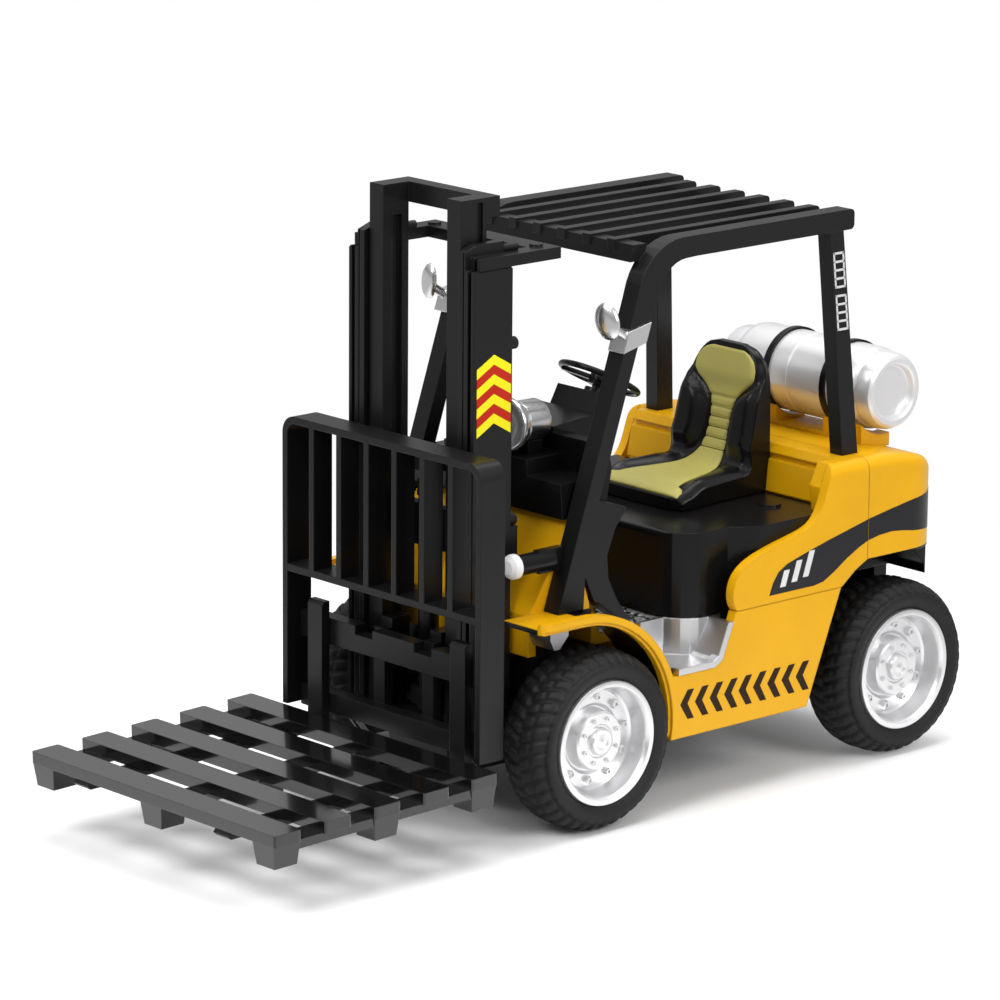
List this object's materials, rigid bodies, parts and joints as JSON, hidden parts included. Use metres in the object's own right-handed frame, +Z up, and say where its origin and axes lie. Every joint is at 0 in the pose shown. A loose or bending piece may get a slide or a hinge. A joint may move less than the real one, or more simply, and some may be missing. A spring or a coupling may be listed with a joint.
{
  "type": "toy forklift",
  "caption": "Toy forklift with a yellow body, black overhead guard, two-stage lifting mast, slatted pallet on the forks and a silver gas bottle on the counterweight.",
  "frame": {"origin": "middle of the whole outline in X and Y, at the ground under the wheels", "axes": "X across the truck with its left side at +X, Y along its length with the counterweight at +Y and the forks at -Y, Z up"},
  "size_m": [0.0712, 0.1803, 0.12],
  "materials": {
    "yellow_body": "glossy enamel",
    "black_frame": "satin black plastic",
    "black_gloss": "shiny black plastic",
    "seat_black": "shiny black plastic",
    "seat_olive": "painted, satin",
    "plated": "vacuum plated",
    "wheel_chrome": "vacuum plated, slightly soft",
    "tyre_rubber": "matt, moulded tread",
    "steel": "turned",
    "tank_silver": "silver plated, smooth",
    "mat_grey": "dark with worn raised pattern",
    "lamp_glass": "clear to milky"
  },
  "bodies": {
    "truck": {"base_screws": "steel", "chassis_base": "black_frame", "control_levers": "black_gloss", "counterweight": "yellow_body", "dash_console": "black_gloss", "fender_brackets": "steel", "gas_tank": "tank_silver", "headlamp_bowl_left": "plated", "headlamp_bowl_right": "plated", "headlamp_brackets": "black_gloss", "headlamp_lens_left": "lamp_glass", "headlamp_lens_right": "lamp_glass", "lower_body": "yellow_body", "marker_lens_left": "lamp_glass", "marker_lens_right": "lamp_glass", "marker_stem_left": "black_gloss", "marker_stem_right": "black_gloss", "mast_pivot_pin": "steel", "mirror_clip_left": "plated", "mirror_clip_right": "plated", "mirror_left": "plated", "mirror_right": "plated", "overhead_guard": "black_frame", "seat_base": "black_gloss", "seat_insert": "seat_olive", "seat_shell": "seat_black", "steer_pin": "steel", "steering_column": "black_gloss", "step_insert_left": "plated", "step_insert_right": "plated", "tank_cradle": "yellow_body", "tank_straps": "black_gloss", "tank_valve": "steel", "tread_plate": "mat_grey", "upper_body": "yellow_body"},
    "front_wheels": {"front_axle": "steel", "front_hub_caps": "wheel_chrome", "front_lug_bolts": "wheel_chrome", "front_rim_left": "wheel_chrome", "front_rim_right": "wheel_chrome", "front_tyre_left": "tyre_rubber", "front_tyre_right": "tyre_rubber"},
    "steer_axle": {"steer_beam": "black_frame"},
    "rear_wheels": {"rear_axle": "steel", "rear_hub_caps": "wheel_chrome", "rear_lug_bolts": "wheel_chrome", "rear_rim_left": "wheel_chrome", "rear_rim_right": "wheel_chrome", "rear_tyre_left": "tyre_rubber", "rear_tyre_right": "tyre_rubber"},
    "steering_wheel": {"steering_wheel": "black_gloss"},
    "outer_mast": {"outer_mast": "black_frame", "lift_cylinder": "black_frame"},
    "inner_mast": {"inner_mast": "black_frame", "lift_rod": "steel"},
    "carriage": {"carriage_frame": "black_frame", "load_backrest": "black_frame", "fork_left": "black_frame", "fork_right": "black_frame"},
    "pallet": {"pallet": "black_gloss"}
  },
  "joints": [
    {"name": "front_roll", "type": "hinge", "parent": "truck", "child": "front_wheels", "pos_m": [0, -0.0079, 0.0175], "axis": [1, 0, 0], "continuous": true},
    {"name": "steer", "type": "hinge", "parent": "truck", "child": "steer_axle", "pos_m": [0, 0.0726, 0.0175], "axis": [0, 0, 1], "range_deg": [-8, 8]},
    {"name": "rear_roll", "type": "hinge", "parent": "steer_axle", "child": "rear_wheels", "pos_m": [0, 0.0726, 0.0175], "axis": [1, 0, 0], "continuous": true},
    {"name": "steering_turn", "type": "hinge", "parent": "truck", "child": "steering_wheel", "pos_m": [0, 0.0214, 0.0778], "axis": [0, 0.4848, 0.8746], "continuous": true},
    {"name": "mast_tilt", "type": "hinge", "parent": "truck", "child": "outer_mast", "pos_m": [0, -0.0219, 0.015], "axis": [1, 0, 0], "range_deg": [-1.5, 4]},
    {"name": "mast_lift", "type": "slide", "parent": "outer_mast", "child": "inner_mast", "axis": [0, 0, 1], "range_m": [0, 0.04]},
    {"name": "carriage_lift", "type": "slide", "parent": "inner_mast", "child": "carriage", "axis": [0, 0, 1], "range_m": [-0.004, 0.07]},
    {"name": "pallet_off", "type": "slide", "parent": "carriage", "child": "pallet", "axis": [0, -0.9996, -0.0279], "range_m": [0, 0.06]}
  ]
}
